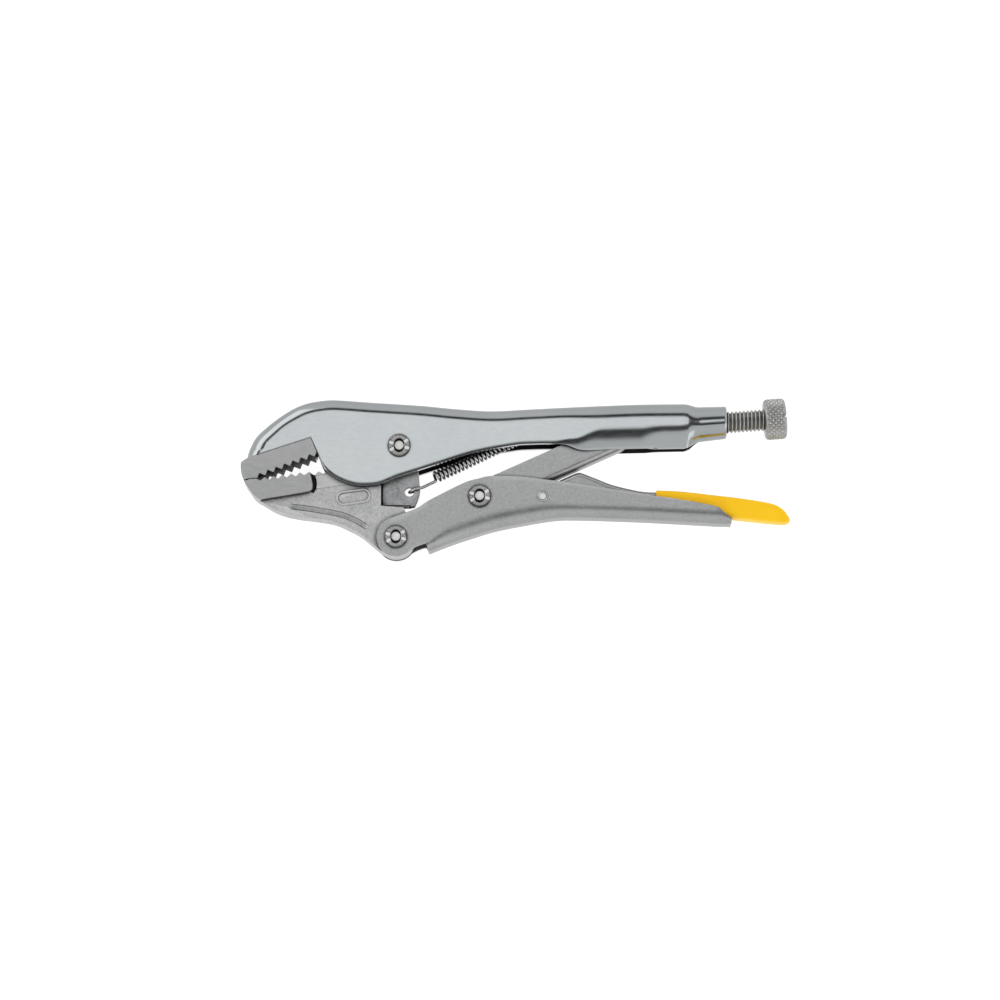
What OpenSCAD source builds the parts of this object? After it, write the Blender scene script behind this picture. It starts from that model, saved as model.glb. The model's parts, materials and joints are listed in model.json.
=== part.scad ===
// Locking pliers with straight serrated jaws, closed and locked, lying on one side.
// +X runs from the jaws to the handle ends, +Y from the lower handle to the upper one,
// +Z is the thickness. The origin is under the middle, at the surface they lie on.
// Modules draw about the middle plane, and lay() lifts them onto that surface.

/* [Sheet metal] */
// Outside width of the upper handle channel
upper_w = 15.5; // [15:0.1:16.5]
// Sheet thickness of the upper handle
upper_sheet = 2.5; // [2:0.1:2.6]
// Sheet thickness of the lower handle
lower_sheet = 2.05; // [1.6:0.05:2.2]
// Thickness of the lower jaw between the plates
jaw_w = 10.2; // [9.6:0.1:10.3]
// Outside width of the toggle link
link_w = 10; // [9:0.1:10.2]
// Sheet thickness of the toggle link and the release lever
link_sheet = 1.6; // [1.2:0.1:2]
// Outside width of the release lever
lever_w = 8.4; // [7.6:0.1:8.8]
// Thickness of the vinyl on the release lever
vinyl = 0.7; // [0.4:0.05:0.7]

/* [Jaws] */
// Distance from one tooth to the next
tooth_pitch = 3.08; // [2.8:0.04:4]
// Depth of a tooth
tooth_depth = 1.6; // [1:0.1:1.9]
// Thickness of the rear tab that holds the spring
tab_w = 3.2; // [2:0.1:4]

/* [Rivets and pins] */
// Shank radius of the main pivot rivet
main_r = 3.6; // [3:0.1:3.9]
// Shank radius of the lower jaw and handle rivet
jaw_r = 3.3; // [2.8:0.1:3.8]
// Shank radius of the link rivet
link_r = 3.1; // [2.6:0.1:3.6]
// Shank radius of the release lever pin
pin_r = 1.7; // [1.3:0.1:2]
// Radius of a rivet head
head_r = 4.7; // [4.3:0.1:5]
// Height of a rivet head above the plate
head_h = 1.1; // [0.7:0.1:1.4]
// Radial clearance of the turning fits
running = 0.06; // [0.03:0.01:0.1]

/* [Adjusting screw] */
// Crest radius of the thread
thread_r = 4.5; // [4.2:0.05:4.6]
// Distance from one thread to the next
thread_pitch = 1.6; // [1.25:0.05:2]
// Depth of the thread
thread_depth = 0.85; // [0.5:0.05:1.1]
// Radius of the knurled head
knob_r = 8.45; // [7.5:0.05:8.8]
// Length of the knurled head
knob_l = 8.9; // [8:0.1:11]
// Thread in sight between the collar and the knurled head at rest
thread_shown = 15.6; // [8:0.1:18]

/* [Spring] */
// Outer radius of the coil
coil_r = 2.6; // [2:0.05:3]
// Radius of the spring wire
wire_r = 0.6; // [0.4:0.05:0.6]

/* [Hidden] */
$fn = 64;

// pivots and anchor points in the XY plane
main_at = [-47.4, 12.1];
jaw_at = [-48.6, -25.4];
link_at = [-14.6, -8.65];
pin_at = [11, -8.8];
link_end = [48.8, 20];
spring_hole = [-43.3, -6];
spring_hole_r = 1.9;
anchor_hole = [14.4, 20];
anchor_hole_r = 1.6;

// half widths of each layer
upper_z = upper_w / 2;
inner_z = upper_z - upper_sheet;
lower_z = inner_z + lower_sheet;
jaw_z = jaw_w / 2;
lift = upper_z + head_h;

// adjusting screw axis: the collar's end face is at distance 0 along it
screw_at = [86.3, 23];
screw_tilt = 4.15;
collar_l = 12;
collar_r1 = 7.25;
collar_r2 = 6.65;
bore_r = thread_r + 0.25;
tip_s = -29.4;

// longer than any cut needs to be
reach = 60;
// radial clearance of a rivet in the plates that it clamps
seat = 0.01;

// the upper handle's hollow runs from cavity_start to cavity_end, and past lip_from its
// mouth is only lip_slot wide, below lip_y
cavity_start = -105;
lip_from = 54;
cavity_end = 68;
lip_y = 13.5;
lip_slot = 6.4;
// the channel ends and the collar begins
shoulder_x = 69.4;
shoulder_r = 5;
// the upper jaw's tang fills the front of the hollow
tang_start = -104.8;
tang_end = -78;
tang_gap = 0.08;

// ---- curves -------------------------------------------------------------------
// Points of a smooth curve through the points p, with n steps from each to the next
function curve(p, n = 5) = concat([for (i = [0:len(p) - 2], k = [0:n - 1])
    let (a = p[max(i - 1, 0)], b = p[i], c = p[i + 1], d = p[min(i + 2, len(p) - 1)],
        t = k / n)
    0.5 * (2 * b + (c - a) * t + (2 * a - 5 * b + 4 * c - d) * t * t
        + (3 * b - a - 3 * c + d) * t * t * t)], [p[len(p) - 1]]);
function backwards(p) = [for (i = [len(p) - 1:-1:0]) p[i]];
function shifted(p, by) = [for (q = p) q + by];
// The stretch of a curve from x0 to x1, ends included
function stretch(p, x0, x1) = concat([[x0, lookup(x0, p)]],
    [for (q = p) if (q.x > x0 + 0.01 && q.x < x1 - 0.01) q], [[x1, lookup(x1, p)]]);
// Points on a circle about c, from angle a0 to a1
function arc(c, r, a0, a1, n = 16) =
    [for (i = [0:n]) c + r * [cos(a0 + (a1 - a0) * i / n), sin(a0 + (a1 - a0) * i / n)]];
// Saw teeth from a to b: each rises to a crest on the line and falls side mm off it
function teeth(a, b, side) =
    let (run = norm(b - a), count = floor(run / tooth_pitch), u = (b - a) / run,
        v = [-u.y, u.x] * side)
    concat([for (i = [0:count - 1], part = [0, 1])
        a + u * tooth_pitch * (i + part * 0.42) + v * part], [b]);

module slab(points, half) {
    translate([0, 0, -half]) linear_extrude(2 * half) polygon(points);
}
module lay() { translate([0, 0, lift]) children(); }
module hole(at, r) { translate([at.x, at.y, -reach / 2]) cylinder(r = r, h = reach); }
// Carries its child onto the screw axis, whose +Z is then the way out of the collar
module on_screw() {
    translate([screw_at.x, screw_at.y, 0]) rotate([0, 0, screw_tilt]) rotate([0, 90, 0])
        children();
}

// ---- upper handle --------------------------------------------------------------
upper_top = curve([[-109.7, 6.9], [-108.8, 10.7], [-106, 16.3], [-101.5, 20.7],
    [-96.3, 24.7], [-91.1, 27.9], [-85.9, 30.1], [-80.7, 31.2], [-73.7, 31.7],
    [-59, 30.7], [-39, 29.4], [-24.4, 28], [-9.8, 27.1], [4.7, 27.8], [18.2, 28.5],
    [32.7, 29.3], [51, 30], [70.4, 30.2]]);
upper_low = curve([[-80.2, 8.4], [-78.7, 4.5], [-76.7, 1.6], [-72.7, -1.4],
    [-66.9, -3.7], [-62.1, -4.3], [-55.5, -3.7], [-48.3, -0.75], [-39, 2.2],
    [-31.7, 4.6], [-17.1, 9.2], [-2.5, 12], [4.7, 12.8], [19.2, 12.8], [27.2, 10.5],
    [40, 11], [70.4, 11.6]]);
jaw_line = [[-106.2, 8], [-83.4, 15.5]];

// The rounded end of the channel, where the collar starts to neck down
module channel_end() {
    for (y = [16.6, 24.9], z = [-1, 1])
        translate([shoulder_x, y, z * (upper_z - shoulder_r)]) rotate([0, 90, 0])
            cylinder(r = shoulder_r, h = 1, $fn = 32);
}

module collar() {
    hull() {
        channel_end();
        on_screw() translate([0, 0, -collar_l]) cylinder(r = collar_r1, h = 1, $fn = 32);
    }
    on_screw() translate([0, 0, 1 - collar_l])
        cylinder(r1 = collar_r1, r2 = collar_r2, h = collar_l - 1);
}

// The tab lanced from the back of the channel, which holds the spring's far eye
module spring_anchor() {
    size = [1.6, 9, 5];
    foot = 17.4;
    difference() {
        translate([anchor_hole.x - size.x / 2, foot, -size.z / 2]) cube(size);
        translate([0, anchor_hole.y, 0]) rotate([0, 90, 0])
            cylinder(r = anchor_hole_r, h = reach);
    }
}

module upper_handle() {
    under = shifted(upper_top, [0, -upper_sheet]);
    color("#c4c9cc") lay() {
        difference() {
            union() {
                slab(concat(upper_top, backwards(upper_low),
                    [jaw_line[1], [-109.4, 6.95]]), upper_z);
                collar();
            }
            slab(concat([[cavity_start, -reach]], stretch(under, cavity_start, lip_from),
                [[lip_from, -reach]]), inner_z);
            slab(concat([[lip_from - 1, lip_y]], stretch(under, lip_from - 1, cavity_end),
                [[cavity_end, lip_y]]), inner_z);
            slab([[lip_from - 1, 0], [lip_from - 1, 20], [cavity_end, 20], [cavity_end, 0]],
                lip_slot / 2);
            on_screw() translate([0, 0, -reach]) cylinder(r = bore_r, h = 2 * reach);
            hole(main_at, main_r + seat);
        }
        spring_anchor();
    }
}

// ---- jaws -----------------------------------------------------------------------
module upper_jaw() {
    tang_top = shifted(upper_top, [0, -upper_sheet - 0.05]);
    color("#a9adaf") lay() {
        slab(concat([[-108, -1.85], [-104.9, -0.62]],
            teeth([-104.1, 0.7], [-80.95, 9.53], tooth_depth * 0.9),
            [[-83.4, 15.42], [-106.2, 7.92], [-109.4, 6.87],
            [-111.9, 5.2], [-111.9, 2.9], [-111.7, 0.3], [-110.6, -2.9]]), upper_z);
        slab(concat([[tang_start, 6]], stretch(tang_top, tang_start, tang_end),
            [[tang_end, 12], [-81.2, 9.4]]), inner_z - tang_gap);
    }
}

module lower_jaw() {
    head = concat([[-109.9, -2.8], [-108, -1.95], [-104.9, -0.78]],
        teeth([-102.3, -1.3], [-83.7, 1.32], -tooth_depth),
        [[-83.5, 0.6], [-82, -4.6], [-82.6, -6.2], [-84.6, -6.9], [-92, -8.2]],
        [[-103, -10], [-103.5, -10.3], [-105.2, -9.3], [-107, -7.6], [-108.3, -5.7],
        [-109.6, -3.4]]);
    bottom = curve([[-104.1, -10.2], [-96.3, -14.6], [-87.2, -16.8], [-80.7, -17.6],
        [-73.7, -18.9], [-68.4, -21.1], [-62.7, -24.2], [-58.1, -28], [-54.6, -30.9]]);
    body = concat(bottom, arc(jaw_at, 7.8, 235, 390),
        [[-45.5, -13], [-54.8, -12.3], [-54.8, 2], [-40.5, 5.5]], arc(main_at, 8.6, -10, 150),
        [[-66, 12.5], [-74, 5.6], [-77.4, 2.2], [-84, 1.1], [-84, -4], [-100, -8]]);
    tab = [[-56, -12.3], [-42.5, -12.3], [-40.6, -11.5], [-39.2, -7.4], [-38.9, -5.4],
        [-40, 8], [-56, 8]];
    color("#a7abad") lay() difference() {
        union() {
            slab(head, upper_z);
            slab(body, jaw_z);
            slab(tab, tab_w / 2);
        }
        hole(main_at, main_r + running);
        hole(jaw_at, jaw_r + running);
        hole(spring_hole, spring_hole_r);
    }
}

// ---- lower handle and toggle ---------------------------------------------------
lower_top = curve([[-54.9, -20.6], [-51.2, -17.8], [-43.2, -14.9], [-39.2, -13.2],
    [-34.9, -10.3], [-21.2, -3.3], [-14.9, -1.4], [-10, -0.4], [1.8, -0.6],
    [11.9, -1.8], [25.8, -3.6], [50.8, -7.7], [65.4, -9.8], [80.9, -12.7],
    [84.2, -14.6], [87.9, -17.6]]);
lower_bottom = curve([[-35.1, -31.1], [-27.4, -28], [-18.1, -24.8], [-8.7, -21.9],
    [1.8, -19.7], [15.6, -17.4], [26.5, -17.1], [50.8, -17.9], [71.7, -19],
    [87.5, -19.9]]);

module lower_handle() {
    above_web = shifted(lower_bottom, [0, lower_sheet]);
    color("#aaaeb0") lay() difference() {
        slab(concat(backwards(lower_top), arc(jaw_at, 8, 150, 322),
            [[-40.2, -29.2], [-38.4, -28.4], [-37, -28]], lower_bottom), lower_z);
        slab(concat([[-70, -reach], [-37.4, -reach], [-37.4, -29.6]],
            above_web, [[90, -17.8], [90, reach], [-70, reach]]), inner_z);
        hole(jaw_at, jaw_r + seat);
        hole(link_at, link_r + seat);
        hole(pin_at, pin_r + seat);
    }
}

// A channel with its back down: it lies along +X from its eye, and is then turned into place
module toggle_link() {
    run = norm(link_end - link_at);
    tilt = atan2(link_end.y - link_at.y, link_end.x - link_at.x);
    eye = 6;
    back = 5.8;
    lip = 5.6;
    nose = 5;
    web_from = 9;
    nose_l = 6;
    between = link_w - 2 * link_sheet;
    outline = concat(arc([0, 0], eye, 90, 250, 20), curve([[eye, -5.9], [18, -back],
        [44, -back], [run - 4, -nose]]), arc([run, 0], nose, -60, 60, 12),
        [[run - 4, nose], [44, lip], [18, lip], [eye, 5.9]]);
    color("#a9adaf") lay() translate(link_at) rotate([0, 0, tilt]) difference() {
        slab(outline, link_w / 2);
        translate([web_from, link_sheet - back, -between / 2])
            cube([run - web_from - nose_l, reach, between]);
        translate([web_from + 0.1 - reach, -reach / 2, -between / 2])
            cube([reach, reach, between]);
        hole([0, 0], link_r + running);
    }
}

// ---- release lever ----------------------------------------------------------------
tail_from = 56;
tail_top = curve([[tail_from, -6.2], [67.5, -6.9], [80, -8.2], [92.5, -9.8],
    [104, -12.2], [108.6, -14.8], [111, -17.6]]);
tail_low = curve([[tail_from, -13.6], [72, -15.1], [88.3, -16.9], [100, -18.4],
    [108, -19.2], [110.6, -18.9]]);

// The lever's flat tail, or with grow the vinyl over it
module tail(grow, half) {
    slab(concat(shifted(tail_top, [0, grow]), [[111.3 + grow, -18.3]],
        backwards(shifted(tail_low, [0, -grow]))), half);
}

module release_lever() {
    back = [[0, -4.8], [13.4, -3.9], [24.6, 1], [27, 1], [40, -3.8], [50, -6.2]];
    front = concat(arc(pin_at, 4, 110, 250), curve([[14, -13], [26, -13.2],
        [40, -13.2], [tail_from, -13.6]]), [[tail_from, -6.2], [50.8, -5.9], [40, -3.4],
        [27.6, 1.5], [24.8, 1.55], [15, -2.85]]);
    color("#a9adaf") lay() difference() {
        union() {
            slab(front, lever_w / 2);
            tail(0, lever_w / 2);
        }
        slab(concat([[0, -reach]], shifted(back, [0, -link_sheet]), [[50, -reach]]),
            lever_w / 2 - link_sheet);
        hole(pin_at, pin_r + running);
    }
}

module lever_sleeve() {
    open_l = 1.2;
    color("#fabe14") lay() difference() {
        tail(vinyl, lever_w / 2 + vinyl);
        tail(0, lever_w / 2);
        translate([tail_from + open_l - reach, -reach / 2, -reach / 2])
            cube([reach, reach, reach]);
    }
}

// ---- adjusting screw -----------------------------------------------------------
// A plain tip, then rings in place of the thread's helix, then the knurled head with its slot
module adjusting_screw() {
    thread_from = -22;
    chamfer = 1.1;
    slot = [1.6, 1.5];
    turns = floor((thread_shown - thread_from) / thread_pitch);
    head_end = thread_shown + knob_l;
    root_r = thread_r - thread_depth;
    thread = [for (i = [0:turns - 1], q = [[0, 0], [0.3, 1], [0.45, 1], [0.75, 0]])
        [root_r + q.y * thread_depth, thread_from + (i + q.x) * thread_pitch]];
    color("#b4b8ba") lay() on_screw() difference() {
        rotate_extrude() polygon(concat([[0, tip_s], [2.4, tip_s], [3.5, tip_s + 1]],
            [[root_r, tip_s + 2]], thread, [[root_r, thread_shown]],
            [[knob_r - chamfer, thread_shown], [knob_r, thread_shown + chamfer],
            [knob_r, head_end - chamfer], [knob_r - chamfer, head_end], [0, head_end]]));
        translate([-slot.x / 2, -reach / 2, head_end - slot.y])
            cube([slot.x, reach, slot.y + 1]);
    }
}

// ---- spring ------------------------------------------------------------------------
// A straight stretch of the wire
module wire(a, b) {
    d = b - a;
    translate(a) rotate([0, 0, atan2(d.y, d.x)]) rotate([0, 90, 0])
        cylinder(r = wire_r, h = norm(d), $fn = 24);
}

// The coil as a plain cylinder, between the hook in the jaw's tab and the eye on the anchor
module return_spring() {
    coil_a = [-32.2, 0.5];
    coil_b = [8.8, 18.3];
    u = (coil_b - coil_a) / norm(coil_b - coil_a);
    slope = atan2(u.y, u.x);
    eye_r = 3.1;
    hook_r = 2.2;
    eye = spring_hole + u * eye_r;
    color("#4a4f55") lay() {
        translate(coil_a) rotate([0, 0, slope]) rotate([0, 90, 0])
            cylinder(r = coil_r, h = norm(coil_b - coil_a));
        wire(spring_hole + u * 2 * eye_r, coil_a + u);
        wire(coil_b - u, anchor_hole + [-hook_r, -hook_r]);
        translate(eye) rotate([0, 0, slope]) rotate([90, 0, 0])
            rotate_extrude($fn = 40) translate([eye_r, 0]) circle(r = wire_r, $fn = 16);
        translate(anchor_hole - [0, hook_r]) rotate_extrude($fn = 40)
            translate([hook_r, 0]) circle(r = wire_r, $fn = 16);
    }
}

// ---- rivets -------------------------------------------------------------------------
// A rivet with a closed head on each side: a flat ring round a centre boss
module rivet(r, half) {
    top = half + head_h;
    rim = [0.3, 0.35];
    groove = [2.1, 2.6];
    groove_h = 0.45;
    side = [[head_r, half], [head_r, top - rim.y], [head_r - rim.x, top],
        [groove[1], top], [groove[1] - 0.1, top - groove_h],
        [groove[0] + 0.1, top - groove_h], [groove[0], top], [0, top]];
    rotate_extrude() polygon(concat([[r, -half], [r, half]], side,
        [for (q = backwards(side)) [q.x, -q.y]]));
}

module main_pivot_rivet() {
    color("#b9bdbf") lay() translate(main_at) rivet(main_r, upper_z);
}
module jaw_pivot_rivet() {
    color("#b0b4b6") lay() translate(jaw_at) rivet(jaw_r, lower_z);
}
module link_pivot_rivet() {
    color("#b0b4b6") lay() translate(link_at) rivet(link_r, lower_z);
}
// A pin peened to a low dome at each end
module lever_pivot_pin() {
    dome_r = 2.35;
    dome_h = 0.8;
    side = [[pin_r, lower_z], [dome_r, lower_z], [1.3, lower_z + 0.75 * dome_h],
        [0, lower_z + dome_h]];
    color("#b0b4b6") lay() translate(pin_at) rotate_extrude()
        polygon(concat(side, [for (q = backwards(side)) [q.x, -q.y]]));
}

upper_handle();
upper_jaw();
lower_jaw();
lower_handle();
toggle_link();
release_lever();
lever_sleeve();
adjusting_screw();
return_spring();
main_pivot_rivet();
jaw_pivot_rivet();
link_pivot_rivet();
lever_pivot_pin();
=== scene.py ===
"""Locking pliers, closed and locked, lying on one side on a pale floor.

Outlines are in millimetres about the middle plane of the tool, and mm() carries a point into
the frame. Pivots come from the frame's joints.
"""
import json
import math

import bmesh
import bpy
import numpy as np
from mathutils import Matrix, Vector


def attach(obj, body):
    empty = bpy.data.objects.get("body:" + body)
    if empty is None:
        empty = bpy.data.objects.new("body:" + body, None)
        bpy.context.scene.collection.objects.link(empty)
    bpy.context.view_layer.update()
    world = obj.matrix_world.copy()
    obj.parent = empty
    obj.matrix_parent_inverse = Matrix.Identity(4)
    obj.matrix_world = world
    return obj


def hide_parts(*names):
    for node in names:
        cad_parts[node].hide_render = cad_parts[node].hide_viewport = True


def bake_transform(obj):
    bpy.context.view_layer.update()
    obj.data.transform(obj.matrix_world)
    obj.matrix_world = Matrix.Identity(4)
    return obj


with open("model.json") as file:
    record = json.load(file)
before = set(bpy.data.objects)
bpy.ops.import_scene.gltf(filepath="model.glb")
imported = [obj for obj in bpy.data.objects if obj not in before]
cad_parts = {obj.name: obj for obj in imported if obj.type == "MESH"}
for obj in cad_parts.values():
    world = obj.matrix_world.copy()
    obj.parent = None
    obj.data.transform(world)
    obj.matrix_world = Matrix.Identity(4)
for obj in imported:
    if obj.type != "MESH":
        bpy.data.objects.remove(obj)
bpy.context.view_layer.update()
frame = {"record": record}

# ---- frame -------------------------------------------------------------------------
UPPER, JAW, LOWER = "upper_body", "jaw_body", "lower_body"
LINK, LEVER, SCREW = "link_body", "lever_body", "screw_body"

JOINTS = {j["name"]: j for j in frame["record"]["behaviour"]["joints"]}


def pivot(joint):
    """A hinge's place in the XY plane, in millimetres."""
    return np.array(JOINTS[joint]["pos_m"][:2]) * 1000


MAIN_AT = pivot("jaw_open")
JAW_AT = pivot("handle_swing")
LINK_AT = pivot("link_swing")
PIN_AT = pivot("release_lift")
SCREW_DIR = np.array(JOINTS["screw_travel"]["axis"][:2])
LIFT = 1000 * JOINTS["jaw_open"]["pos_m"][2]

# Half widths of the layers
UPPER_Z, INNER_Z, LOWER_Z, JAW_Z = 7.75, 5.25, 7.3, 5.1
LINK_Z, LEVER_Z = 5.0, 4.2

# Places without a joint: the link's nose, the spring's ends, and the collar's end face
LINK_END = np.array([48.8, 20.0])
SPRING_HOLE = np.array([-43.3, -6.0])
ANCHOR_HOLE = np.array([14.4, 20.0])
SCREW_AT = np.array([86.3, 23.0])
SCREW_SLOPE = SCREW_DIR[1] / SCREW_DIR[0]
SCREW_ACROSS = np.array([-SCREW_DIR[1], SCREW_DIR[0]])


# ---- curves ------------------------------------------------------------------------
def curve(points, steps=8):
    """A smooth curve through the points."""
    p = np.array(points, float)
    out = []
    for i in range(len(p) - 1):
        a, b, c, d = p[max(i - 1, 0)], p[i], p[i + 1], p[min(i + 2, len(p) - 1)]
        for t in np.arange(steps) / steps:
            out.append(0.5 * (2 * b + (c - a) * t + (2 * a - 5 * b + 4 * c - d) * t**2
                              + (3 * b - a - 3 * c + d) * t**3))
    return np.array(out + [p[-1]])


def arc(centre, r, a0, a1, n=20):
    """Points on a circle, from angle a0 to a1 in degrees."""
    a = np.radians(np.linspace(a0, a1, n + 1))
    return np.array(centre) + r * np.stack([np.cos(a), np.sin(a)], 1)


def height(line, x):
    """The Y of a curve that runs along +X, at x."""
    return np.interp(x, line[:, 0], line[:, 1])


def ease(x, x0, x1):
    """0 before x0, 1 after x1, smooth between."""
    t = np.clip((x - x0) / (x1 - x0), 0, 1)
    return t * t * (3 - 2 * t)


# ---- meshes ------------------------------------------------------------------------
def mm(points):
    """Points in millimetres about the middle plane, as metres in the frame."""
    return [(p[0] / 1000, p[1] / 1000, (p[2] + LIFT) / 1000) for p in points]


def from_data(name, verts, faces):
    """An object of millimetre points, with doubled points joined and normals outwards."""
    mesh = bpy.data.meshes.new(name)
    mesh.from_pydata(mm(verts), [], [tuple(int(i) for i in f) for f in faces])
    obj = bpy.data.objects.new(name, mesh)
    bpy.context.scene.collection.objects.link(obj)
    bm = bmesh.new()
    bm.from_mesh(mesh)
    bmesh.ops.remove_doubles(bm, verts=bm.verts, dist=2e-6)
    bmesh.ops.dissolve_degenerate(bm, edges=bm.edges, dist=1e-6)
    bmesh.ops.recalc_face_normals(bm, faces=bm.faces)
    bm.to_mesh(mesh)
    bm.free()
    return obj


def rounded(obj, width, segments=3, angle=50):
    """Rounds the sharp edges by width millimetres."""
    mod = obj.modifiers.new("edges", "BEVEL")
    mod.width = width / 1000
    mod.segments = segments
    mod.limit_method = "ANGLE"
    mod.angle_limit = math.radians(angle)
    return obj


def applied(obj):
    """Bakes the modifiers into the mesh."""
    bpy.context.view_layer.update()
    graph = bpy.context.evaluated_depsgraph_get()
    mesh = bpy.data.meshes.new_from_object(obj.evaluated_get(graph))
    obj.modifiers.clear()
    obj.data = mesh
    return obj


def combined(obj, other, how):
    """Boolean of obj with other, which is used up."""
    mod = obj.modifiers.new("cut", "BOOLEAN")
    mod.operation = how
    mod.object = other
    mod.solver = "EXACT"
    applied(obj)
    bpy.data.objects.remove(other)
    return obj


def finished(obj, material, body, node=None, smooth=32):
    """Shades the piece smooth, gives it its material, and puts it on its body."""
    applied(obj)
    obj.data.shade_smooth()
    obj.data.set_sharp_from_angle(angle=math.radians(smooth))
    weighted = obj.modifiers.new("shading", "WEIGHTED_NORMAL")
    weighted.weight = 80
    weighted.keep_sharp = True
    applied(obj)
    obj.data.materials.clear()
    obj.data.materials.append(material)
    if node:
        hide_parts(node)
    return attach(obj, body) if body else obj


def painted(obj, material, chosen):
    """Gives a second material to the faces that chosen(centre in mm, normal) picks."""
    obj.data.materials.append(material)
    for face in obj.data.polygons:
        centre = np.array(face.center) * 1000 - (0, 0, LIFT)
        if chosen(centre, face.normal):
            face.material_index = len(obj.data.materials) - 1


def slab(name, outline, half, edge=0.3, segments=3):
    """A flat plate of the outline, with its rim edges rounded."""
    pts = [tuple(p) for p in outline]
    n = len(pts)
    verts = [(*p, -half) for p in pts] + [(*p, half) for p in pts]
    faces = [list(range(n))[::-1], list(range(n, 2 * n))]
    faces += [[i, (i + 1) % n, n + (i + 1) % n, n + i] for i in range(n)]
    obj = from_data(name, verts, faces)
    if edge:
        rounded(obj, edge, segments, 60)
        applied(obj)
    return obj


def disc(name, at, r, half, n=48):
    """A round plate, as a cutter for holes."""
    return slab(name, arc(at, r, 0, 360 - 360 / n, n - 1), half, 0)


def raised(obj, z):
    """Moves a cutter by z millimetres off the middle plane."""
    obj.data.transform(Matrix.Translation((0, 0, z / 1000)))
    return obj


def grid(rows, closed=True):
    """Quads between rows of indices, each row closed or open."""
    faces = []
    for a, b in zip(rows, rows[1:]):
        n = len(a)
        for i in range(n if closed else n - 1):
            j = (i + 1) % n
            faces.append([a[i], a[j], b[j], b[i]])
    return faces


def lofted(name, rings, cap=True):
    """A skin over rings of the same number of points."""
    n = len(rings[0])
    verts = [p for ring in rings for p in ring]
    rows = [list(range(i * n, (i + 1) * n)) for i in range(len(rings))]
    faces = grid(rows)
    if cap:
        faces += [rows[0][::-1], rows[-1]]
    return from_data(name, verts, faces)


def swept(name, path, r, sides=12):
    """A round wire along the path."""
    path = np.array(path, float)
    tangent = np.gradient(path, axis=0)
    tangent /= np.linalg.norm(tangent, axis=1)[:, None]
    normal = np.cross(tangent[0], [0.3, 0.5, 0.8])
    rings = []
    for p, t in zip(path, tangent):
        normal = normal - t * (normal @ t)
        normal /= np.linalg.norm(normal)
        side = np.cross(t, normal)
        rings.append([p + r * (math.cos(a) * normal + math.sin(a) * side)
                      for a in np.linspace(0, 2 * math.pi, sides, endpoint=False)])
    return lofted(name, rings)


# ---- pressed channels --------------------------------------------------------------
PLATE_STEPS, BEND_STEPS = 6, 6


def channel_section(add, s, o, n, has_web, half, share, thick, bend):
    """Adds one cross-section: (outer, inner) rows of indices for near cheek, far cheek, web."""
    deep = min(share * bend, 0.9 * np.linalg.norm(o - s))
    turn = min(bend, deep)
    foot = s + n * deep if has_web else s
    plate = [o + (foot - o) * k / PLATE_STEPS for k in range(PLATE_STEPS + 1)]
    near = [[add(*p, z) for p in plate] for z in (half, half - thick)]
    far = [[add(*p, z) for p in plate] for z in (-half, thick - half)]
    webs = []
    for depth, r in ((0, turn), (thick, max(turn - thick, 0.05))):
        back = min(depth, deep - 0.1)
        quarter = []
        for k in range(1, BEND_STEPS + 1):
            a = math.pi / 2 * k / BEND_STEPS
            p = s + n * (back + (deep - back) * (1 - math.sin(a)))
            quarter.append((*p, half - depth - r * (1 - math.cos(a))))
        both = quarter + [(x, y, -z) for x, y, z in reversed(quarter)]
        webs.append([add(*p) for p in both] if has_web else [])
    return near, far, webs


def around_web(section, skin):
    """One skin's row of indices from cheek to cheek."""
    near, far, webs = section
    return [near[skin][-1], *webs[skin], far[skin][-1]]


def channel_faces(sections, web):
    """Quads from each section to the next, with the rims and the ends closed."""
    faces = []
    last = len(sections) - 1
    for i, (one, two) in enumerate(zip(sections, sections[1:])):
        whole = web[i] and web[i + 1]
        for (ao, ai), (bo, bi) in zip(one[:2], two[:2]):
            faces += grid([ao, bo], False) + grid([ai, bi], False)
            faces.append([ao[0], ai[0], bi[0], bo[0]])
            if not whole:
                faces.append([ao[-1], ai[-1], bi[-1], bo[-1]])
        if whole:
            for skin in (0, 1):
                faces += grid([around_web(one, skin), around_web(two, skin)], False)
    for i, section in enumerate(sections):
        starts = web[i] and (i == 0 or not web[i - 1])
        ends = web[i] and (i == last or not web[i + 1])
        if starts or ends:
            faces += grid([around_web(section, 0), around_web(section, 1)], False)
        if i in (0, last):
            faces += grid(section[0], False) + grid(section[1], False)
    return faces


def channel(name, spine, open_edge, inward, half, thick, bend, web, wide=1.0):
    """A channel of sheet: spine[i] is on the back, open_edge[i] on the cheeks' free edge.

    inward[i] is the unit normal at the spine, into the channel. Where web[i] is false the
    sheet is two flat cheeks. The bends take up wide times their radius of the cheeks, and
    turn tighter where the cheeks are low. half and wide are one value, or one per station.
    """
    verts = []

    def add(x, y, z):
        verts.append((x, y, z))
        return len(verts) - 1

    count = len(spine)
    stations = zip(spine, open_edge, inward, web, np.full(count, half), np.full(count, wide))
    sections = [channel_section(add, *station, thick, bend) for station in stations]
    return from_data(name, verts, channel_faces(sections, web))


def normals(line, turn):
    """Unit normals of a curve: turn 1 is to the left of its run, and -1 to the right."""
    t = np.gradient(np.array(line), axis=0)
    t /= np.linalg.norm(t, axis=1)[:, None]
    return turn * np.stack([-t[:, 1], t[:, 0]], 1)


# ---- materials ---------------------------------------------------------------------
def node_tree(name):
    """A new material, its nodes, and its surface shader."""
    mat = bpy.data.materials.new(name)
    mat.use_nodes = True
    tree = mat.node_tree
    return mat, tree, tree.nodes["Principled BSDF"]


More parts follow.
